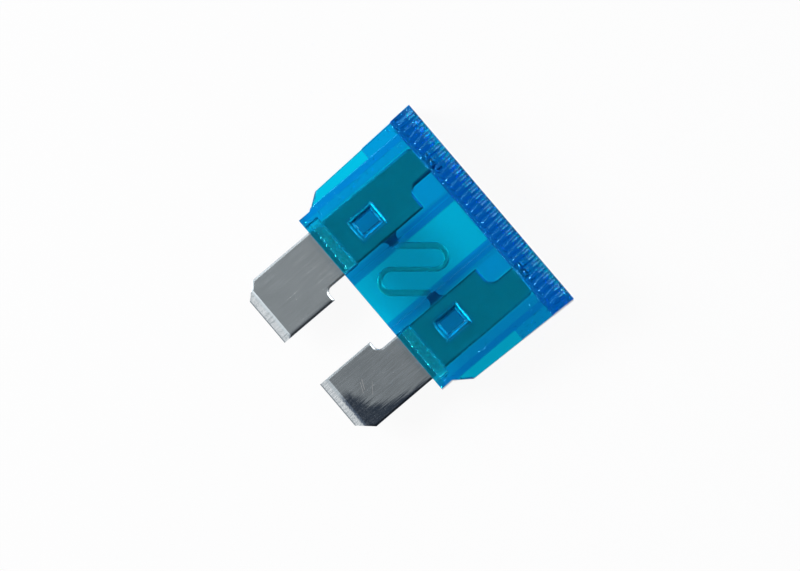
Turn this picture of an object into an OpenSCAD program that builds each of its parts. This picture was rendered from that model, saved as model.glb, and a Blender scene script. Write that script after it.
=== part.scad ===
// Regular-size automotive blade fuse, lying on its back face.
// A stamped zinc element hangs in a clear moulded housing, which is staked through it.
//
// +X runs across the two blades, +Y from the blade tips to the grip bar, and +Z
// out of the front face. Each piece is drawn with Y counted from the housing's
// lower edge and Z from its middle plane, and placed() moves it to the model's
// own frame: the origin is under the centre of the whole fuse, at the height of
// the face that it lies on.

/* [Blades] */
// Distance across the outer edges of the two blades
blade_span = 14.5; // [14:0.1:18]
// Width of each blade where it enters the holder
blade_w = 5.18; // [4.6:0.02:5.4]
// Thickness of the stamped strip
blade_t = 0.65; // [0.5:0.01:0.9]
// Length of the blades below the housing
blade_drop = 6.8; // [5:0.1:9]
// How far the stem is set back from the blade's inner edge
stem_step = 0.95; // [0.6:0.05:1.2]
// Distance from the housing's lower edge to the shoulder of the stem
stem_drop = 1.83; // [1:0.01:3]
// Radius of the fillet at the shoulder
stem_fillet = 0.45; // [0.1:0.05:0.6]
// Chamfer at the outer corner of the tip, across the blade
tip_chamfer_w = 1.1; // [0.5:0.1:2]
// Chamfer at the outer corner of the tip, along the blade
tip_chamfer_h = 1.2; // [0.5:0.1:2]
// Length of the bevel that thins the tip on both faces
tip_bevel = 0.58; // [0.3:0.02:1.2]
// Thickness left at the very end of the tip
tip_t = 0.3; // [0.15:0.05:0.4]

/* [Panels inside the housing] */
// How far the panels reach up past the underside of the grip bar
panel_lap = 0.1; // [0.05:0.05:0.4]
// Radius of the panel's outer top corner
panel_corner = 0.6; // [0.2:0.05:1]
// Width of the notch at the panel's inner top corner
notch_w = 1.7; // [1:0.05:2.2]
// Depth of that notch
notch_h = 2.27; // [1.2:0.01:2.7]
// Radius of the fillet in the notch
notch_fillet = 0.65; // [0.2:0.05:0.9]
// Width of the test tab beside the notch
tab_w = 1.35; // [0.8:0.05:1.8]
// Height of the test tab above the panel
tab_h = 0.7; // [0.3:0.05:1]
// Width of the staking aperture
aperture_w = 1.45; // [1:0.05:1.8]
// Height of the staking aperture
aperture_h = 1.95; // [1.2:0.05:2.6]
// Distance from the blade's outer edge to the aperture's centre
aperture_inset = 2.3; // [1.9:0.05:2.6]
// Height of the aperture's centre above the housing's lower edge
aperture_y = 3.87; // [3:0.01:4.6]

/* [Fuse link] */
// Thickness of the link, thinner than the strip
link_t = 0.3; // [0.15:0.01:0.5]
// Height of the link's centre above the housing's lower edge
link_y = 4.22; // [3.8:0.01:4.8]
// Overall height of the S
link_h = 5.94; // [5:0.02:7]
// Centreline radius of the two bends
link_bend_r = 0.9; // [0.7:0.01:1]
// Width of the two outer runs
link_w = 0.5; // [0.3:0.01:0.6]
// Width of the middle run, where the link melts first
link_mid_w = 0.38; // [0.2:0.01:0.5]
// Clearance between each bend and the chamber's wall
link_side_gap = 0.4; // [0.2:0.05:0.6]
// Height of the neck that joins the link to a panel
neck_w = 0.85; // [0.6:0.05:1.1]
// How far each neck is off the level of the link's centre
neck_rise = 0.2; // [0:0.05:0.4]
// Radius of the fillet between neck and panel
neck_fillet = 0.45; // [0.1:0.05:0.6]

/* [Housing] */
// Height of the housing from its lower edge to the top of the grip bar
housing_h = 12; // [10:0.1:15]
// Thickness of the body
body_t = 3.7; // [3:0.1:4.6]
// Solid wall left beside each slot at the foot
side_wall = 0.33; // [0.2:0.01:0.8]
// Width of the thin wing at its lower corner
wing_w = 0.95; // [0.4:0.05:1.6]
// Thickness of the wings
wing_t = 1.5; // [1:0.1:2.4]
// How far each side leans out, from the wing's lower corner to the top
side_lean = 0.32; // [0:0.02:0.8]
// Height of the narrow foot below the wings
foot_h = 1.05; // [0.6:0.05:1.8]
// Height of the slope from the foot out to the wing
foot_slope = 1.3; // [0.6:0.1:2]
// Height of the shoulders under the grip bar
shoulder_h = 2.95; // [2:0.05:4]
// Thickness of the shoulders
shoulder_t = 2.8; // [1.6:0.1:3.6]
// How far the body reaches out past the foot, over the wings
side_lap = 0.17; // [0:0.01:0.3]
// Chamfer along the outer edges of the body
edge_chamfer = 0.05; // [0.03:0.01:0.4]

/* [Grip bar] */
// Thickness of the grip bar over its ridges
bar_t = 5; // [4.4:0.1:7]
// Height of the grip bar
bar_h = 1.95; // [1.6:0.05:2.6]
// Chamfer along the long edges of the bar
bar_chamfer = 0.1; // [0.05:0.05:0.4]
// Spacing of the grip ridges
ridge_pitch = 0.605; // [0.6:0.005:1]
// Radius of a ridge
ridge_r = 0.29; // [0.2:0.01:0.29]
// Height of a ridge over the bar's face
ridge_h = 0.1; // [0.05:0.01:0.24]
// Plain strip left below the ridges
ridge_low_gap = 0.2; // [0.1:0.05:0.4]
// Plain stretch left at each end of the bar
ridge_end_gap = 0.5; // [0.3:0.1:2]

/* [Window, chamber and pockets] */
// Depth of the window's shallow recess
window_recess = 0.05; // [0.05:0.05:0.4]
// How far the recess runs past the chamber on each side
window_lap = 0.45; // [0.2:0.05:0.7]
// Width of the ribs between the chamber and the panel slots
rib_w = 0.8; // [0.6:0.05:1.2]
// Thickness of the chamber around the link
chamber_t = 1.8; // [1.2:0.1:2]
// Thickness of the pockets around the panels
pocket_t = 2.2; // [1.3:0.1:2.4]
// Clearance between a pocket's walls and the panel's edges
pocket_gap = 0.05; // [0.05:0.01:0.2]

/* [Fits] */
// Clearance between the strip and its slot, on each face
slot_gap = 0.05; // [0.02:0.01:0.12]
// Clearance at the panel's inner edge
slot_in_gap = 0.3; // [0.05:0.05:0.4]
// Clearance at the panel's outer edge
slot_out_gap = 0.75; // [0.05:0.05:0.9]
// Clearance above the panel, around the neck and around the test tab
top_gap = 0.1; // [0.05:0.01:0.2]
// Clearance between a stake and its aperture
stake_gap = 0.03; // [0.02:0.01:0.06]

/* [Stakes and pressed marks] */
// Width of a staking pit at the surface
pit_w = 1.9; // [1.6:0.05:2.4]
// Height of a staking pit at the surface
pit_h = 2.35; // [2:0.05:2.8]
// Depth of a staking pit
pit_depth = 0.35; // [0.1:0.05:0.7]
// How much narrower and shorter a pit is at its floor
pit_taper = 0.68; // [0.3:0.02:1]
// How far the boss behind a pit reaches past the strip's aperture
boss_lap = 0.3; // [0.1:0.05:0.5]
// Height of the land along the lower edge, pressed in until it closes on the strip
land_h = 1.25; // [0.8:0.05:1.8]
// Depth of the pressed land
land_depth = 0.6; // [0.2:0.05:0.8]
// How much shorter and narrower the pressed land is at its floor
land_taper = 0.2; // [0.1:0.05:0.4]
// How far the pressed land reaches out past the panel
land_lap = 0.4; // [0:0.05:0.6]

/* [Top of the bar] */
// Width of each probe well, across the blades
well_w = 3.8; // [2.6:0.1:4.2]
// Thickness of a well, front to back
well_t = 2.6; // [1.8:0.1:3.6]
// Depth of the wells and of the groove
well_depth = 0.45; // [0.2:0.05:0.7]
// How far a well starts inboard of the test tab
well_lead = 0.5; // [0.2:0.05:0.8]
// Thickness of the groove along the top, where a rating would stand
groove_t = 1.2; // [0.6:0.1:2]
// Plain stretch left beyond each end of the groove
groove_end_gap = 0.6; // [0.4:0.1:1]

/* [Hidden] */
$fn = 64;
over = 1; // how far a cutter runs past the face that it opens
bite = 0.1; // how far a joined piece sinks into the one it grows from

// Places along X, from the centre line outwards
blade_out = blade_span / 2;
tip_in = blade_out - blade_w;
panel_in = tip_in + stem_step;
tab_in = panel_in + notch_w;
slot_in = panel_in - slot_in_gap;
slot_out = blade_out + slot_out_gap;
chamber_x = slot_in - rib_w;
window_x = chamber_x + window_lap;
aperture_x = blade_out - aperture_inset;
land_out = blade_out + land_lap;
foot_x = slot_out + side_wall;
side_x = foot_x + side_lap;
wing_x = foot_x + wing_w;
top_x = wing_x + side_lean;
well_in = tab_in - well_lead;

// Thickness of the slots
slot_t = blade_t + 2 * slot_gap;

// Places along Y, from the housing's lower edge up
bar_y = housing_h - bar_h;
panel_top = bar_y + panel_lap;
notch_y = panel_top - notch_h;
tab_top = panel_top + tab_h;
wing_y = foot_h + foot_slope;
shoulder_y = bar_y - shoulder_h;
ridge_y = bar_y + ridge_low_gap;
neck_slot_y = link_y + neck_rise + neck_w / 2 + neck_fillet + top_gap;

// The S is set by the centre of its upper bend: the middle run passes through
// the link's centre and touches the bend's centreline circle.
bend_x = chamber_x - link_side_gap - link_w / 2 - link_bend_r;
bend_y = (link_h - link_w) / 2 - link_bend_r;
bend_far = norm([bend_x, bend_y]);
run_half = sqrt(bend_far * bend_far - link_bend_r * link_bend_r);
run_angle = atan2(bend_y, bend_x) - asin(link_bend_r / bend_far);
bend_shift = (link_w - link_mid_w) / 4;
bend_half_w = (link_w + link_mid_w) / 4;

// Where the outer run's centreline meets the neck's, along the run and along X
join_u = (neck_rise - 2 * link_bend_r * cos(run_angle)) / sin(run_angle);
join_x = join_u * cos(run_angle) - 2 * link_bend_r * sin(run_angle);

ridge_count = 2 * floor((top_x - ridge_end_gap) / ridge_pitch);

// ---------- helpers ----------

// Moves a piece from its drawing position to the model's frame
module placed() {
    translate([0, (blade_drop - housing_h) / 2, bar_t / 2])
        children();
}

// A 2D shape as a plate of thickness t, centred on the middle plane
module plate(t) {
    translate([0, 0, -t / 2])
        linear_extrude(t)
            children();
}

// A 2D shape in X and Z, drawn out along Y from y0 to y1
module along_y(y0, y1) {
    translate([0, y1, 0])
        rotate([90, 0, 0])
            linear_extrude(y1 - y0)
                children();
}

// A 2D shape in Y and Z, drawn out along X over the whole width
module along_x() {
    translate([-top_x - over, 0, 0])
        rotate([90, 0, 90])
            linear_extrude(2 * (top_x + over))
                children();
}

module both_sides() {
    children();
    mirror([1, 0, 0])
        children();
}

module both_faces() {
    children();
    mirror([0, 0, 1])
        children();
}

// The same shape turned half a turn about the link's centre
module both_turns() {
    children();
    rotate(180)
        children();
}

// What lies between a corner and the circle of radius r that rounds it
module cove(r, to_x, to_y) {
    difference() {
        translate([to_x > 0 ? 0 : -r, to_y > 0 ? 0 : -r])
            square(r);
        translate([to_x * r, to_y * r])
            circle(r);
    }
}

// A rectangle from [x0, y0] to [x1, y1]
module rect(x0, y0, x1, y1) {
    translate([x0, y0])
        square([x1 - x0, y1 - y0]);
}

// A centred rectangle with chamfered corners, or plain ones where chamfer is 0
module chamfered(w, h, chamfer) {
    polygon([
        [w / 2, h / 2 - chamfer], [w / 2 - chamfer, h / 2],
        [chamfer - w / 2, h / 2], [-w / 2, h / 2 - chamfer],
        [-w / 2, chamfer - h / 2], [chamfer - w / 2, -h / 2],
        [w / 2 - chamfer, -h / 2], [w / 2, chamfer - h / 2],
    ]);
}

// ---------- housing ----------

module housing_outline() {
    polygon([
        [-foot_x, 0], [foot_x, 0], [foot_x, foot_h], [wing_x, wing_y],
        [top_x, housing_h], [-top_x, housing_h], [-wing_x, wing_y], [-foot_x, foot_h],
    ]);
}

// The moulding before anything is taken out of it: thin wings all over, the
// thick body, the shoulders, and the grip bar with its ridges
module blank() {
    plate(wing_t)
        housing_outline();
    block(0, bar_y + bite, side_x, body_t, edge_chamfer, 0);
    block(shoulder_y, bar_y + bite, top_x, shoulder_t, edge_chamfer, edge_chamfer);
    block(bar_y, housing_h, top_x, bar_t - 2 * ridge_h, bar_chamfer, bar_chamfer);
    intersection() {
        block(bar_y, housing_h, top_x, bar_t, bar_chamfer, bar_chamfer);
        both_faces()
            ridges();
    }
}

// A block inside the housing's outline, from y0 to y1, reaching out to half_w,
// with its long edges chamfered, and its lower and upper edges too
module block(y0, y1, half_w, t, side_chamfer, end_chamfer) {
    intersection() {
        plate(t)
            housing_outline();
        along_y(y0, y1)
            chamfered(2 * half_w, t, side_chamfer);
        along_x()
            translate([(y0 + y1) / 2, 0])
                chamfered(y1 - y0, t, end_chamfer);
    }
}

// The grip ridges on one face. Each is a rod sunk into the face, with a round
// lower end, and the bar's top edge ends it.
module ridges() {
    for (i = [0 : ridge_count - 1]) {
        x = (i - (ridge_count - 1) / 2) * ridge_pitch;
        translate([x, ridge_y, bar_t / 2 - ridge_r])
            ridge(housing_h - ridge_y + over);
    }
}

module ridge(len) {
    rotate([-90, 0, 0])
        rotate_extrude()
            intersection() {
                union() {
                    rect(0, ridge_r, ridge_r, len);
                    translate([0, ridge_r])
                        circle(ridge_r);
                }
                rect(0, 0, ridge_r, len);
            }
}

// Chamber, neck slots and panel slots, all open at the housing's lower edge, and
// a deeper pocket around each panel, which leaves its notch out
module cavity() {
    plate(chamber_t)
        rect(-chamber_x, -over, chamber_x, bar_y);
    plate(link_t + 2 * top_gap)
        rect(-slot_in - bite, -over, slot_in + bite, neck_slot_y);
    plate(slot_t)
        both_sides() {
            rect(slot_in, -over, slot_out, panel_top + top_gap);
            rect(tab_in - top_gap, bar_y, tab_in + tab_w + top_gap, housing_h + over);
        }
    plate(pocket_t)
        both_sides() {
            rect(panel_in - pocket_gap, land_h, blade_out + pocket_gap, notch_y + pocket_gap);
            rect(tab_in - pocket_gap, land_h, blade_out + pocket_gap, bar_y);
        }
}

// The plastic that holds the strip: a boss on the inside of each wall, and the
// stake between them that fills the aperture
module stakes() {
    both_sides()
        translate([aperture_x, aperture_y, 0]) {
            both_faces()
                translate([0, 0, slot_t / 2])
                    linear_extrude((pocket_t - slot_t) / 2 + bite)
                        square([aperture_w + 2 * boss_lap, aperture_h + 2 * boss_lap], center = true);
            cube([
                aperture_w - 2 * stake_gap,
                aperture_h - 2 * stake_gap,
                slot_t + 2 * bite,
            ], center = true);
        }
}

// A dent pressed into the face of the body: it measures w by h at the face, and
// less at its floor. It is made of two crossed prisms.
module dent(w, h, depth, taper) {
    intersection() {
        rotate([90, 0, 0])
            linear_extrude(2 * h + 2 * over, center = true)
                dent_section(w, depth, taper);
        rotate([90, 0, 90])
            linear_extrude(2 * w + 2 * over, center = true)
                dent_section(h, depth, taper);
    }
}

module dent_section(size, depth, taper) {
    floor_z = body_t / 2 - depth;
    top_z = body_t / 2 + bite;
    half_floor = (size - taper) / 2;
    half_top = half_floor + taper / 2 / depth * (top_z - floor_z);
    polygon([[-half_floor, floor_z], [half_floor, floor_z], [half_top, top_z], [-half_top, top_z]]);
}

// The shallow recess in front of the chamber, with sloping sides
module window_cut() {
    floor_z = body_t / 2 - window_recess;
    along_y(-over, bar_y)
        polygon([
            [-window_x, floor_z], [window_x, floor_z],
            [window_x + window_recess + over, body_t / 2 + over],
            [-window_x - window_recess - over, body_t / 2 + over],
        ]);
}

// The groove along the top of the bar, with a probe well over each test tab
module top_cut() {
    floor_y = housing_h - well_depth;
    groove_x = top_x - groove_end_gap;
    plate(groove_t)
        rect(-groove_x, floor_y, groove_x, housing_h + over);
    plate(well_t)
        both_sides()
            rect(well_in, floor_y, well_in + well_w, housing_h + over);
}

module housing() {
    color([0.02, 0.42, 0.75, 0.6])
        placed()
            difference() {
                union() {
                    difference() {
                        blank();
                        cavity();
                    }
                    stakes();
                }
                both_faces() {
                    window_cut();
                    both_sides() {
                        translate([aperture_x, aperture_y, 0])
                            dent(pit_w, pit_h, pit_depth, pit_taper);
                        translate([(panel_in + land_out) / 2, 0, 0])
                            dent(land_out - panel_in, 2 * land_h, land_depth, land_taper);
                    }
                }
                top_cut();
            }
}

// ---------- fuse element ----------

// One blade with its panel, on the +X side
module blade_outline() {
    difference() {
        union() {
            rect(panel_in, -blade_drop, blade_out, panel_top);
            rect(tip_in, -blade_drop, panel_in + bite, -stem_drop);
            rect(tab_in, panel_top - bite, tab_in + tab_w, tab_top);
            translate([panel_in, -stem_drop])
                cove(stem_fillet, -1, 1);
        }
        difference() {
            rect(panel_in - over, notch_y, tab_in, tab_top + over);
            translate([tab_in, notch_y])
                cove(notch_fillet, -1, 1);
        }
        translate([blade_out, panel_top])
            cove(panel_corner, -1, -1);
        polygon([
            [blade_out - tip_chamfer_w, -blade_drop],
            [blade_out, tip_chamfer_h - blade_drop],
            [blade_out + over, -blade_drop - over],
        ]);
        translate([aperture_x, aperture_y])
            square([aperture_w, aperture_h], center = true);
    }
}

// The strip seen edge on, thinned at the tips
module strip_section() {
    polygon([
        [-blade_drop, -tip_t / 2], [tip_bevel - blade_drop, -blade_t / 2],
        [tab_top, -blade_t / 2], [tab_top, blade_t / 2],
        [tip_bevel - blade_drop, blade_t / 2], [-blade_drop, tip_t / 2],
    ]);
}

// Half of the S, from the link's centre up to the bend and down to the left neck
module half_link() {
    rotate(run_angle) {
        rect(0, -link_mid_w / 2, run_half, link_mid_w / 2);
        rect(join_u, 2 * link_bend_r - link_w / 2, run_half, 2 * link_bend_r + link_w / 2);
        translate([run_half, link_bend_r])
            difference() {
                translate([0, bend_shift])
                    circle(link_bend_r + bend_half_w);
                translate([0, -bend_shift])
                    circle(link_bend_r - bend_half_w);
                rect(-2 * link_bend_r, -2 * link_bend_r, 0, 2 * link_bend_r);
            }
        translate([join_u, 2 * link_bend_r])
            circle(link_w / 2);
    }
    rect(-panel_in - bite, neck_rise - neck_w / 2, join_x, neck_rise + neck_w / 2);
    translate([-panel_in, neck_rise - neck_w / 2])
        cove(neck_fillet, 1, -1);
    translate([-panel_in, neck_rise + neck_w / 2])
        cove(neck_fillet, 1, 1);
}

module fuse_element() {
    color([0.62, 0.65, 0.67])
        placed() {
            intersection() {
                plate(blade_t)
                    both_sides()
                        blade_outline();
                along_x()
                    strip_section();
            }
            plate(link_t)
                translate([0, link_y])
                    both_turns()
                        half_link();
        }
}

housing();
fuse_element();
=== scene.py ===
# %% [markdown]
# # A blade fuse in clear blue plastic
# A blade fuse is two pieces: a zinc strip, stamped in one piece, and a clear blue
# moulding that is pushed over it and staked through it. Its outline is already
# right in the CAD model, so this script doesn't draw the fuse again. It takes the
# two CAD solids, softens their edges as the press and the mould would, and gives
# them their real finish: tinted plastic that light goes through, and bare zinc.
# The frame comes first, because every place in the scene is read from it.

# %% Load the fuse as a fixed frame
import bpy
import bmesh
import math
from mathutils import Matrix, Vector


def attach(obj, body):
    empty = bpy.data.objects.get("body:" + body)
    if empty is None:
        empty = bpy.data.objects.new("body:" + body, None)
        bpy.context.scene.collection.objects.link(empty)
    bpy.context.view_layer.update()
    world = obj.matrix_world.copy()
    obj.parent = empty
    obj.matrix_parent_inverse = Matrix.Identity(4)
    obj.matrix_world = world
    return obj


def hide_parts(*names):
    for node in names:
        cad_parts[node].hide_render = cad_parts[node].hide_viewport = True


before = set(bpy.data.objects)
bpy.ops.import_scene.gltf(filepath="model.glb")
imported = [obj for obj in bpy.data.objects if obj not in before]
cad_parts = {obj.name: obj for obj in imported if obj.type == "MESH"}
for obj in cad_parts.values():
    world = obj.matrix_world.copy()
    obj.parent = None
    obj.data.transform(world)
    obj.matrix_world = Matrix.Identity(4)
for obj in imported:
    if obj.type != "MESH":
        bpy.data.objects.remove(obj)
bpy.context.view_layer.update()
MM = 0.001

# %% [markdown]
# Most places on a fuse are easy to say in three numbers: how far across it is
# from the middle, how far up from the housing's lower edge, where the blades come
# out, and how far out from the middle plane of the strip. The lower edge and the
# middle plane are measured on the housing.

# %% Find the lower edge and the middle plane
housing_points = [vertex.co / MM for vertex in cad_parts["housing"].data.vertices]
LOWER_EDGE = min(point.y for point in housing_points)
MIDDLE_PLANE = (min(point.z for point in housing_points) + max(point.z for point in housing_points)) / 2
print("lower edge at", round(LOWER_EDGE, 3), "mm, middle plane at", round(MIDDLE_PLANE, 3), "mm")

# %% [markdown]
# ## The camera
# The fuse lies on its back, seen from above and a little from the right, so that
# the right end of the grip bar just shows. The view is turned so that the blades
# point down and to the left. A long lens from half a metre away shows the fuse
# almost without perspective, as in a catalogue. The view is 60 mm wide at the
# front of the body, so the lens follows from the distance.

# %% Put the camera above the fuse
TURN = math.radians(49.64)
LEAN = math.radians(2.3)
DISTANCE = 500 * MM
VIEW_WIDTH = 60.33 * MM
AIM = Vector((0.35, 0.06, 4.35)) * MM

camera_data = bpy.data.cameras.new("camera")
camera_data.lens = camera_data.sensor_width * DISTANCE / VIEW_WIDTH
camera_data.clip_start = 0.01
camera = bpy.data.objects.new("camera", camera_data)
turned = Matrix.Rotation(LEAN, 4, "Y") @ Matrix.Rotation(TURN, 4, "Z")
camera.matrix_world = Matrix.Translation(AIM + turned.to_3x3() @ Vector((0, 0, DISTANCE))) @ turned
bpy.context.scene.collection.objects.link(camera)
bpy.context.scene.camera = camera
print("lens", round(camera_data.lens), "mm")

# %% [markdown]
# ## Shader maths that reads like sums
# Patterns are made of many small sums on node sockets. One small class wraps a
# socket, so that `1 - mask` or `lines * 0.2` adds the Math nodes by itself. Masks
# are made by soft steps: `rise` goes from 0 to 1, `fall` from 1 to 0, and `band`
# up and down again. A colour goes through `blend`, because sums turn it grey.

# %% Wrap a socket
class Wire:
    """The output of a node, for use in sums."""

    def __init__(self, net, socket):
        self.net, self.socket = net, socket

    def other(self, name):
        """Another output of the same node."""
        return Wire(self.net, self.socket.node.outputs[name])

    def maths(self, operation, first, second=0.0):
        return self.net.add("ShaderNodeMath", {"operation": operation}, {0: first, 1: second})

    def __add__(self, other):
        return self.maths("ADD", self, other)

    def __sub__(self, other):
        return self.maths("SUBTRACT", self, other)

    def __mul__(self, other):
        return self.maths("MULTIPLY", self, other)

    def __pow__(self, other):
        return self.maths("POWER", self, other)

    def __rsub__(self, other):
        return self.maths("SUBTRACT", other, self)

    def __abs__(self):
        return self.maths("ABSOLUTE", self)

    __radd__, __rmul__ = __add__, __mul__

    def rise(self, low, high):
        """0 below low and 1 above high, with a smooth step between them."""
        return self.net.add("ShaderNodeMapRange", {"interpolation_type": "SMOOTHSTEP"},
                            {"Value": self, "From Min": low, "From Max": high})

    def fall(self, low, high):
        """1 below low and 0 above high."""
        return 1 - self.rise(low, high)

    def band(self, low, full, until, high):
        """1 between full and until, and 0 below low and above high."""
        return self.rise(low, full) * self.fall(until, high)

    def blend(self, first, second):
        """The first colour where this is 0, and the second where it is 1."""
        return self.net.add("ShaderNodeMix", {"data_type": "RGBA", "blend_type": "MIX"},
                            {0: self, 6: first, 7: second}, 2)


# %% [markdown]
# A second class keeps the nodes of one material, or of the world, and adds any
# other kind of node to them.

# %% Keep the nodes of a material
class Net:
    """The nodes of a material or of the world."""

    def __init__(self, owner):
        owner.use_nodes = True
        self.nodes, self.links = owner.node_tree.nodes, owner.node_tree.links
        self.nodes.clear()

    def add(self, kind, settings, inputs, output=0):
        node = self.nodes.new(kind)
        for name, value in settings.items():
            setattr(node, name, value)
        for name, value in inputs.items():
            if isinstance(value, Wire):
                self.links.new(value.socket, node.inputs[name])
            else:
                node.inputs[name].default_value = value
        return Wire(self, node.outputs[output]) if node.outputs else None


def split(point):
    """The three numbers of a point."""
    first = point.net.add("ShaderNodeSeparateXYZ", {}, {0: point})
    return first, first.other("Y"), first.other("Z")


# %% [markdown]
# ## The light tent
# A small glossy thing is mostly seen by what it reflects. So the fuse lies in a
# light tent, a box of white cloth as a studio uses for metal. It is made in the
# world's nodes rather than as walls, because then no wall can stand between the
# camera and the fuse. The tent is dimmer overhead, where the flat faces of the
# zinc reflect it, and dark on the right, which gives both blades their dark right
# edges.

# %% Give the tent its level of light
world = bpy.data.worlds.new("tent")
bpy.context.scene.world = world
net = Net(world)
direction = net.add("ShaderNodeTexCoord", {}, {}, "Generated")
rightward, _, height = split(direction)
OVERHEAD, AROUND, DARK_SIDE = 0.21, 0.50, 0.85
height = height.maths("MAXIMUM", height, 0.0)
tent = AROUND - (AROUND - OVERHEAD) * height
tent = tent * (1 - DARK_SIDE * rightward.rise(0.12, 0.5))
print("level overhead", OVERHEAD, "and around", AROUND)

# %% [markdown]
# Four patches of cloth are lit more than the rest. Each lies where one set of
# slopes on the fuse reflects it: the cloths on the left and at the back light the
# rims and the ridges, the low one and the front one only lift the shadows. Each
# has the direction towards its middle, the cosines of the angles at which its
# light starts and is full, and its level.

# %% Light four cloths
CLOTHS = {
    "left": ((-0.80, 0.0, 0.60), 0.965, 0.99, 3.5),
    "low_left": ((-0.72, -0.52, 0.46), 0.93, 0.98, 1.0),
    "back": ((0.05, 0.52, 0.85), 0.965, 0.99, 3.5),
    "front": ((-0.10, -0.60, 0.79), 0.92, 0.98, 0.5),
}
for name, (towards, starts, full, level) in CLOTHS.items():
    near = net.add("ShaderNodeVectorMath", {"operation": "DOT_PRODUCT"},
                   {0: direction, 1: Vector(towards).normalized()}, "Value")
    tent = tent + level * near.rise(starts, full)
    print("lit cloth at the", name, "with a level of", level)
light = net.add("ShaderNodeBackground", {}, {"Color": (1, 1, 1, 1), "Strength": tent})
net.add("ShaderNodeOutputWorld", {}, {"Surface": light})

# %% [markdown]
# One soft lamp hangs on the left. A tent alone gives hardly any shadow, and the
# lamp gives the faint one that holds the fuse to the floor.

# %% Hang the lamp
LAMP_PLACE, LAMP_SIZE, LAMP_WATTS = Vector((-0.31, -0.26, 0.29)), 0.24, 5.0
lamp_data = bpy.data.lights.new("left_lamp", "AREA")
lamp_data.shape, lamp_data.size, lamp_data.energy = "SQUARE", LAMP_SIZE, LAMP_WATTS
lamp = bpy.data.objects.new("left_lamp", lamp_data)
lamp.location = LAMP_PLACE
lamp.rotation_euler = (-LAMP_PLACE).to_track_quat("-Z", "Y").to_euler()
bpy.context.scene.collection.objects.link(lamp)
print("lamp", round(LAMP_PLACE.length, 2), "m away,", LAMP_WATTS, "W")

# %% [markdown]
# ## The floor
# Clear plastic is mostly seen by what is behind it, and behind this fuse is the
# floor. Light gets under the fuse only through the fuse, and to trace that takes
# far more samples than a render has. So the floor has a level of its own for rays
# that come through the plastic. It is dimmest behind the middle of the link and
# grows lighter all round.

# %% Start the floor and measure places on it
def new_material(name):
    material = bpy.data.materials.new(name)
    return material, Net(material)


def place_in_mm(net):
    """Places on a piece in millimetres."""
    point = net.add("ShaderNodeTexCoord", {}, {}, "Object")
    return net.add("ShaderNodeVectorMath", {"operation": "SCALE"}, {0: point, "Scale": 1 / MM})


floor_white, net = new_material("white_floor")
across, along, _ = split(place_in_mm(net))
aside, up = abs(across), along - LOWER_EDGE
from_middle = ((across * 0.55) ** 2 + (up - 4.2) ** 2) ** 0.5
under = 0.53 + 0.37 * from_middle.rise(0.8, 5.0)

# %% [markdown]
# The shadows of the thick places come next: the grip bar, the two ribs beside the
# window and the two stakes. The right side is a little dimmer than the left, and
# the lower corners are lighter, because light comes in there past the wings.

# %% Dim the floor under the thick places
STAKE_ACROSS, STAKE_UP = 4.95, 3.87
at_bar = up.rise(9.7, 10.4) * (1 - 0.8 * up.rise(11.4, 11.65))
at_right = across.rise(5.5, 8.5) * (1 - at_bar)
at_rib = aside.band(1.95, 2.1, 2.9, 3.1) * (1 - at_bar)
at_stake = (((aside - STAKE_ACROSS) ** 2 + (up - STAKE_UP) ** 2) ** 0.5).fall(1.0, 1.6)
at_foot = aside.rise(7.2, 7.6) * up.fall(0.4, 2.8)
under = under * (0.87 - 0.015 * across - 0.14 * at_right)
under = under * (1 - 0.15 * at_rib - 0.32 * at_stake) * (1 - at_bar * (0.26 - 0.02 * across))
under = under * (1 + 0.28 * at_foot)

# %% [markdown]
# The camera sees nearly all of the floor as plain white, and a small part of it
# as matt paint that takes the lamp's light and keeps the shadow. A mirrored ray,
# as at the steep right end of the bar, sees it half white.

# %% Mix the floor from white and matt
SHOWN, MIRRORED = 0.94, 0.55
camera_ray = net.add("ShaderNodeLightPath", {}, {}, "Is Camera Ray")
through = camera_ray.other("Is Transmission Ray")
mirrored = camera_ray.other("Is Glossy Ray") * (1 - through)
seen = camera_ray * SHOWN + through * under + mirrored * MIRRORED
matt = net.add("ShaderNodeBsdfDiffuse", {}, {"Color": (0.42, 0.42, 0.44, 1)})
white = net.add("ShaderNodeEmission", {}, {"Color": (1, 1, 1, 1), "Strength": 1.0})
mixed = net.add("ShaderNodeMixShader", {}, {0: seen, 1: matt, 2: white})
net.add("ShaderNodeOutputMaterial", {}, {"Surface": mixed})

# %% Lay the floor
FLOOR_HALF, FLOOR_DROP = 1.5, 0.02 * MM
shape = bmesh.new()
bmesh.ops.create_grid(shape, x_segments=1, y_segments=1, size=FLOOR_HALF)
bmesh.ops.translate(shape, verts=shape.verts, vec=(0, 0, -FLOOR_DROP))
mesh = bpy.data.meshes.new("floor")
shape.to_mesh(mesh)
shape.free()
mesh.materials.append(floor_white)
floor = bpy.data.objects.new("floor", mesh)
bpy.context.scene.collection.objects.link(floor)
print("floor", 2 * FLOOR_HALF, "m wide")

# %% [markdown]
# ## Bare zinc
# The strip is rolled zinc. Rolling leaves fine lines along it, and air dulls it
# to a blotchy satin grey. Noise that is stretched along the blades makes the
# lines. The right blade is darker and streakier than the left.

# %% Roll the zinc
def stretched(point, amounts):
    return point.net.add("ShaderNodeVectorMath", {"operation": "MULTIPLY"}, {0: point, 1: amounts})


def noise(point, scale, detail=2.0, rough=0.5):
    return point.net.add("ShaderNodeTexNoise", {},
                         {"Vector": point, "Scale": scale, "Detail": detail, "Roughness": rough})


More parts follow.
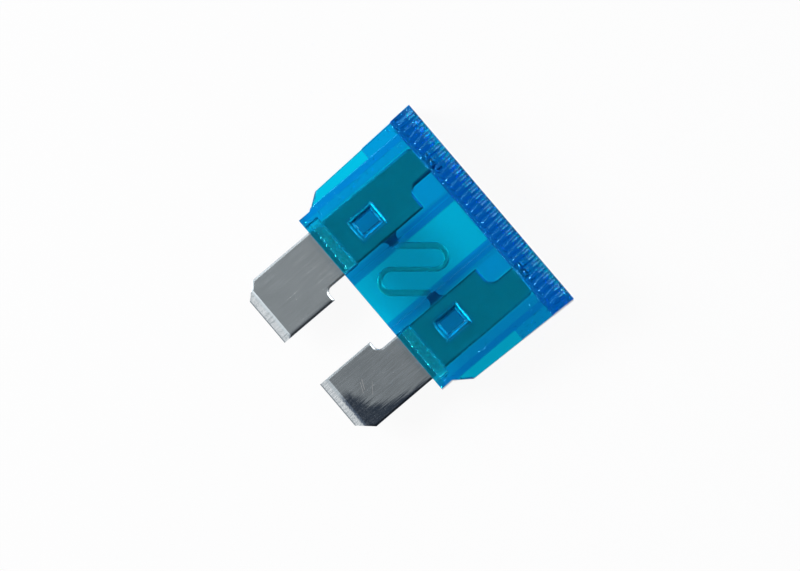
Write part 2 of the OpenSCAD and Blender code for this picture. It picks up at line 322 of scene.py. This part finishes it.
zinc, net = new_material("zinc")
point = place_in_mm(net)
across, along, _ = split(point)
aside, up = abs(across), along - LOWER_EDGE
lines = noise(stretched(point, (9.0, 0.35, 1.0)), 1.0, 4.0, 0.6)
streaks = noise(stretched(point, (16.0, 0.5, 1.0)), 1.0, 3.0, 0.6)
blotch = noise(point, 0.5)
grain = noise(point, 14.0)
patchy = lines * 0.6 + blotch * 0.4
bare = patchy.blend((0.57, 0.64, 0.68, 1), (0.76, 0.84, 0.89, 1))
dulled = (streaks * 0.7 + blotch * 0.3).rise(0.36, 0.64)
dulled = dulled.blend((0.47, 0.53, 0.57, 1), (0.60, 0.67, 0.72, 1))
colour = across.rise(0.0, 1.0).blend(bare, dulled)

# %% [markdown]
# The outer corner of the right blade is stained nearly black. The stain's edge is
# a curve that hugs the corner, which a product of the two distances from it
# gives, and the streaks break it up. The right edges of both blades are painted
# dark as well. This is painted shade where their rims face the dark side of the tent.

# %% Stain the right blade's corner and paint shade on the right edges
STAIN_AND_SHADE_DARK, STAIN_LIGHT = (0.08, 0.11, 0.16, 1), (0.26, 0.30, 0.35, 1)
from_corner = (7.55 - across) * (up + 6.30)
from_corner = from_corner + 5.0 * (streaks - 0.5) + 1.0 * (blotch - 0.5)
tarnish = across.rise(3.4, 4.4) * from_corner.fall(2.0, 3.8)
stain = (grain * 0.5 + streaks * 0.5).rise(0.48, 0.66).blend(STAIN_AND_SHADE_DARK, STAIN_LIGHT)
colour = tarnish.blend(colour, stain)
# Painted shade: the right-facing rims of both blades are painted dark
left_edge_shade = across.band(-2.48, -2.12, -2.0, -1.9) * up.fall(-2.2, -1.8)
right_edge_shade = across.rise(7.00, 7.22)
colour = (0.75 * (left_edge_shade + right_edge_shade)).blend(colour, STAIN_AND_SHADE_DARK)

# %% [markdown]
# Each time the fuse is pushed into its holder, the terminals scratch it. A
# scratch is a thin straight line, given by its two ends and its width, and the
# same helper draws a short bright nick.

# %% Scratch the blades
def scratch(x0, y0, x1, y1, width):
    """1 along a thin straight line on the blade, and 0 beside it."""
    length = math.hypot(x1 - x0, y1 - y0)
    right, rise = (x1 - x0) / length, (y1 - y0) / length
    beside = abs((across - x0) * rise - (up - y0) * right)
    along_it = (across - x0) * right + (up - y0) * rise
    return along_it.band(0.0, 0.1, length - 0.1, length) * beside.fall(0.2 * width, width)


MARKS = [(3.75, -4.1, 4.6, -4.5, 0.05), (3.9, -4.35, 4.75, -4.75, 0.04), (4.4, -3.6, 5.3, -4.3, 0.03),
         (-3.63, -4.83, -3.47, -4.91, 0.08)]
marks = 0
for mark in MARKS:
    marks = scratch(*mark) + marks
colour = (0.7 * marks).blend(colour, (0.97, 0.98, 0.99, 1))
print("marks on the blades:", len(MARKS))

# %% [markdown]
# The bevels at the tips were pressed when the blade was cut off, so they are
# fresh metal: bright, streaked, with a ragged upper edge and a thin dark line
# where the cut ends.

# %% Shear the tips
CUT_DARK, CUT_BRIGHT, CUT_END = (0.45, 0.50, 0.53, 1), (0.80, 0.84, 0.87, 1), (0.25, 0.29, 0.32, 1)
ragged = up + 0.5 * (streaks - 0.5) + 0.3 * (grain - 0.5)
sheared = (streaks * 0.5 + grain * 0.5).rise(0.38, 0.60).blend(CUT_DARK, CUT_BRIGHT)
sheared = up.fall(-6.76, -6.68).blend(sheared, CUT_END)
colour = ragged.fall(-6.32, -6.22).blend(colour, sheared)

# %% [markdown]
# Inside the plastic, the zinc is painted lighter. This painted light makes up for
# the light the blue walls take on the way in and out. The link is painted lightest,
# with a greenish tone. The necks beside it and the edge of the left notch lie in the
# shadow of the ribs and of the bar, so painted shade darkens them here.

# %% Paint light on the zinc inside the plastic, and shade at the necks and notch
in_link = aside.fall(2.0, 2.3)
# Painted light: the zinc behind the plastic is painted lighter than the bare blades
painted_light_and_shade_inside = patchy.blend((0.68, 0.73, 0.76, 1), (0.86, 0.90, 0.93, 1))
painted_light_and_shade_inside = in_link.blend(painted_light_and_shade_inside, (0.86, 0.94, 0.82, 1))
# Painted shade: the necks are painted dark navy where the ribs shade them
neck = aside.band(2.28, 2.45, 2.85, 3.10)
painted_light_and_shade_inside = neck.blend(painted_light_and_shade_inside, (0.26, 0.32, 0.50, 1))
# Painted shade: the edge of the left notch is painted dark where the bar shades it
notch = across.band(-5.10, -4.88, -4.7, -4.6) * up.rise(8.1, 8.5)
painted_light_and_shade_inside = (0.8 * notch).blend(painted_light_and_shade_inside, (0.10, 0.16, 0.40, 1))
colour = up.rise(-0.2, 0.3).blend(colour, painted_light_and_shade_inside)

# %% [markdown]
# The same lines and grain that colour the metal also roughen it and stand out of
# it by a few micrometres, which spreads its reflections across the lines.

# %% Finish the zinc
roughness = 0.18 + 0.08 * lines + 0.06 * grain + 0.08 * in_link * up.rise(0.0, 0.1)
bump = net.add("ShaderNodeBump", {}, {
    "Strength": 0.35, "Distance": 0.004 * MM, "Height": lines * 0.6 + grain * 0.4})
surface = net.add("ShaderNodeBsdfPrincipled", {}, {
    "Base Color": colour, "Metallic": 1.0, "Roughness": roughness, "Normal": bump})
net.add("ShaderNodeOutputMaterial", {}, {"Surface": surface})
print("zinc has", len(net.nodes), "nodes")

# %% [markdown]
# ## Tinted plastic
# The colour of clear plastic isn't on its surface but in its depth: the thicker
# the wall, the deeper the blue. So the surface stays clear, and a Volume
# Absorption fills the inside. Most of the mould was polished, but some places
# weren't: the land that is pressed along the lower edge in front of each blade,
# the lip below it, the walls of the staking pits and a strip along the top of the
# grip bar. Specks of noise make the borders of these places ragged.

# %% Find the rough places of the moulding
plastic, net = new_material("clear_blue_plastic")
point = place_in_mm(net)
across, along, out = split(point)
aside, up, out = abs(across), along - LOWER_EDGE, abs(out - MIDDLE_PLANE)
specks = noise(point, 5.0, 1.0, 0.3)
ragged = up + 0.35 * (specks - 0.5)
outside = out.rise(1.15, 1.2)
land = ragged.band(0.40, 0.48, 1.15, 1.22) * aside.band(2.95, 3.05, 7.6, 7.75)
lip = aside.rise(2.95, 3.05) * ragged.fall(0.35, 0.45)
bar_top = (up + 0.3 * (specks - 0.5)).rise(11.15, 11.35)

# %% [markdown]
# A staking pit is a square funnel: a sloping wall all round and a small flat
# floor. The wall is what lies in the pit but not on its floor.

# %% Find the walls of the pits
beside_stake, above_stake = abs(aside - STAKE_ACROSS), abs(up - STAKE_UP)
in_pit = beside_stake.fall(0.95, 1.05) * above_stake.fall(1.15, 1.25)
on_floor = beside_stake.fall(0.5, 0.62) * above_stake.fall(0.75, 0.87)
pit_wall = in_pit * (1 - on_floor)

# %% [markdown]
# A rough place in clear plastic does two things. It blurs what is behind it, which
# Roughness gives, and it throws some light back before that light gets deep into
# the blue, so the place looks teal and sparkles. A coat would lie over the blue
# as plain grey, so a little Metallic with a bright teal Base Color is used.

# %% Make the rough places dull and frosted
rough = outside * (land * 0.24 + lip * 0.14 + pit_wall * 0.14 + bar_top * 0.20)
sparkle = specks.rise(0.52, 0.70)
frost = land * (0.20 + 0.32 * sparkle) + lip * 0.18 + pit_wall * 0.35 * sparkle
frost = outside * (frost + bar_top * (0.05 + 0.11 * sparkle))
tinted = (frost * 12).blend((1, 1, 1, 1), (0.02, 0.95, 1.0, 1))

# %% [markdown]
# No moulded face is quite flat. Slow waves bend the reflections a little, specks
# roughen the unpolished places and the foot of the ridges, and a few shallow
# dents lie on the outer sides.

# %% Make the surface uneven
waves = noise(point, 0.8)
fine = noise(point, 9.0, 3.0)
dents = noise(point, 2.2, 1.0).rise(0.60, 0.68) * aside.rise(7.4, 7.7)
bar_rim = up.band(10.0, 10.05, 10.16, 10.2)
speckled = outside * (land * 0.045 + pit_wall * 0.04 + bar_rim * 0.12 + dents * 0.05)
height = 0.004 * waves + 0.0004 * fine + speckled * specks
bump = net.add("ShaderNodeBump", {}, {"Strength": 1.0, "Distance": MM, "Height": height})

# %% [markdown]
# The tint takes red out of the light within a fraction of a millimetre, green
# over two or three and blue hardly at all. Each loss is given for a metre of
# plastic, and the colour of the Volume Absorption follows from them.

# %% Fill the plastic with its tint
RED_LOSS, GREEN_LOSS, BLUE_LOSS = 6000.0, 370.0, 85.0
TINT = (0.0, 1 - GREEN_LOSS / RED_LOSS, 1 - BLUE_LOSS / RED_LOSS, 1)
depth = net.add("ShaderNodeVolumeAbsorption", {}, {"Color": TINT, "Density": RED_LOSS})
surface = net.add("ShaderNodeBsdfPrincipled", {}, {
    "Base Color": tinted, "Metallic": frost, "Roughness": 0.04 + rough, "IOR": 1.585,
    "Transmission Weight": 1.0, "Specular Tint": (0.1, 0.6, 1.0, 1), "Normal": bump})
net.add("ShaderNodeOutputMaterial", {}, {"Surface": surface, "Volume": depth})
print("plastic has", len(net.nodes), "nodes")

# %% [markdown]
# ## Soft edges on the CAD solids
# The CAD solids have the right sizes but sharp edges, and real edges catch light.
# A modifier would round all of them alike. Here a cleaned copy of each solid is
# worked on in a bmesh instead, so that each kind of edge gets what made it: the
# press drew the rim of the zinc down, and the mould was only just broken at its
# edges. The work is done in millimetres, so that widths read as on a drawing.

# %% Copy a CAD solid
def clean_copy(node):
    """A copy in mm, with its loose triangles merged and its flat faces whole."""
    shape = bmesh.new()
    shape.from_mesh(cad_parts[node].data)
    bmesh.ops.scale(shape, vec=(1 / MM,) * 3, verts=shape.verts)
    bmesh.ops.remove_doubles(shape, verts=shape.verts, dist=1e-4)
    bmesh.ops.dissolve_limit(shape, angle_limit=math.radians(0.5), verts=shape.verts, edges=shape.edges)
    return shape


def place(point):
    """Across, up from the lower edge, and out of the middle plane, in mm."""
    return abs(point.x), point.y - LOWER_EDGE, abs(point.z - MIDDLE_PLANE)


def middle(edge):
    return place((edge.verts[0].co + edge.verts[1].co) / 2)


# %% [markdown]
# A punch draws the edge of a sheet down before it cuts, which leaves a gently
# sloping rim. The flat face is inset and its old outline is pressed down.

# %% Press a rim
def press_rim(shape, half, width, drop):
    """Press down the rim of the flat faces that lie half a thickness out."""
    faces = [face for face in shape.faces
             if abs(face.normal.z) > 0.99 and abs(place(face.calc_center_median())[2] - half) < 0.01]
    for vertex in {vertex for face in faces for vertex in face.verts}:
        vertex.co.z -= math.copysign(drop, vertex.co.z - MIDDLE_PLANE)
    bmesh.ops.inset_region(shape, faces=faces, thickness=width, depth=drop, use_even_offset=True)


# %% [markdown]
# A chamfer at 45 degrees on clear plastic turns the light back inside, and shows
# as a black line. On the bar and on the outer sides the chamfers are made
# shallower, so that the floor still shows through them.

# %% Flatten the smallest chamfers
# Half thicknesses of the flat faces, where they start, and how far a chamfer reaches
BAR_HALF, BODY_HALF, SHOULDER_HALF = 2.4, 1.85, 1.4
BAR_FROM, SIDE_FROM = 9.9, 8.2
CHAMFER, FLATTENED = 0.11, 0.6


def flatten_chamfers(shape):
    for vertex in shape.verts:
        across, up, out = place(vertex.co)
        on_bar, on_side = up > BAR_FROM, across > SIDE_FROM
        for half, here in ((BAR_HALF, on_bar), (BODY_HALF, on_side), (SHOULDER_HALF, on_side)):
            if here and half - CHAMFER < out < half:
                vertex.co.z += math.copysign(FLATTENED * (half - out), vertex.co.z - MIDDLE_PLANE)
                break


# %% [markdown]
# Edges that are picked by a small test are rounded. The faces of each rounding
# are remembered for the next step.

# %% Round the picked edges
SHARP = math.radians(28)


def sharp(edge):
    return edge.calc_face_angle(0) > SHARP


def round_edges(shape, piece_name, bevels):
    rounded = shape.faces.layers.int.new("rounded")
    for pick, width, segments in bevels:
        edges = [edge for edge in shape.edges if pick(edge)]
        made = bmesh.ops.bevel(shape, geom=edges, offset=width, offset_type="OFFSET", affect="EDGES",
                               segments=segments, profile=0.5, material=-1)
        for face in made["faces"]:
            face[rounded] = 1
        print(piece_name, "rounded", len(edges), "edges by", width, "mm")


# %% [markdown]
# A rounding is shaded smooth in itself but never together with the flat faces
# beside it, which would bend their reflections. The ridges are small round forms
# all over, so they may be smooth across larger angles. They stand out of the
# bar's face, and a ridge has to stand out a little more near its round lower end,
# where the bar's face still runs below it.

# %% Choose the smooth edges
FLAT_LIMIT, RIDGE_LIMIT = math.radians(12), math.radians(60)
RIDGE_FROM, RIDGE_END_TOP = 10.1, 10.6
RIDGE_OUT, RIDGE_END_OUT = 2.38, 2.405


def on_ridge(edge):
    _, up, out = middle(edge)
    return up > RIDGE_FROM and out > (RIDGE_OUT if up > RIDGE_END_TOP else RIDGE_END_OUT)


def choose_smooth(shape):
    rounded = shape.faces.layers.int["rounded"]
    bmesh.ops.triangulate(shape, faces=shape.faces)
    for edge in shape.edges:
        first, second = edge.link_faces
        limit = RIDGE_LIMIT if on_ridge(edge) else FLAT_LIMIT
        edge.smooth = first[rounded] == second[rounded] and edge.calc_face_angle(0) < limit
    for face in shape.faces:
        face.smooth = True
    shape.faces.layers.int.remove(rounded)


# %% [markdown]
# The finished shape goes back to metres and stands in for its CAD node. Weighted
# normals keep the large flat faces flat right up to their roundings.

# %% Make a piece of the finished shape
def make_piece(shape, piece_name, node, material):
    bmesh.ops.scale(shape, vec=(MM,) * 3, verts=shape.verts)
    mesh = bpy.data.meshes.new(piece_name)
    shape.to_mesh(mesh)
    shape.free()
    mesh.materials.append(material)
    piece = bpy.data.objects.new(piece_name, mesh)
    bpy.context.scene.collection.objects.link(piece)
    weigh = piece.modifiers.new("even_normals", "WEIGHTED_NORMAL")
    weigh.keep_sharp = True
    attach(piece, "root")
    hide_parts(node)
    print(piece_name, "has", len(mesh.polygons), "faces")


# %% [markdown]
# ## The zinc strip
# The blades and the panels get the pressed rim all round, and the rim's own edge
# is rounded a little. The link was coined thinner, and has a larger rounding.

# %% Make the strip
STRIP_HALF, LINK_HALF = 0.325, 0.15
RIM_WIDTH, RIM_DROP = 0.16, 0.04


def on_rim(edge):
    return sharp(edge) and abs(middle(edge)[2] - (STRIP_HALF - RIM_DROP)) < 0.01


def on_link(edge):
    across, _, out = middle(edge)
    return sharp(edge) and across < 2.5 and abs(out - LINK_HALF) < 0.01


strip = clean_copy("fuse_element")
press_rim(strip, STRIP_HALF, RIM_WIDTH, RIM_DROP)
round_edges(strip, "zinc_strip", [(on_rim, 0.03, 2), (on_link, 0.1, 3)])
choose_smooth(strip)
make_piece(strip, "zinc_strip", "fuse_element", zinc)

# %% [markdown]
# ## The clear moulding
# Its outer edges are only just broken. The lower slopes of the wings are the
# exception: they are visibly round. The faces of the grip bar keep their own
# form, and so do the small chamfers that were made shallower on the sides.

# %% Make the moulding
WING_HALF, WING_SLOPE_TOP = 0.75, 2.4


def on_wing(edge):
    across, up, out = middle(edge)
    return sharp(edge) and across > SIDE_FROM and up < WING_SLOPE_TOP and abs(out - WING_HALF) < 0.02


def on_body(edge):
    across, up, out = middle(edge)
    on_bar_face = up > 10.2 and out > 2.05
    on_side_chamfer = 8.25 < across < 8.6
    return sharp(edge) and (across > 8.4 or out > 1.15) and not on_bar_face and not on_side_chamfer


moulding = clean_copy("housing")
flatten_chamfers(moulding)
round_edges(moulding, "clear_moulding", [(on_wing, 0.22, 4), (on_body, 0.03, 2)])
choose_smooth(moulding)
make_piece(moulding, "clear_moulding", "housing", plastic)

# %% [markdown]
# ## Finish
# The Standard view keeps the colours as they were written.

# %% Set the view and finish
bpy.context.scene.view_settings.view_transform = "Standard"
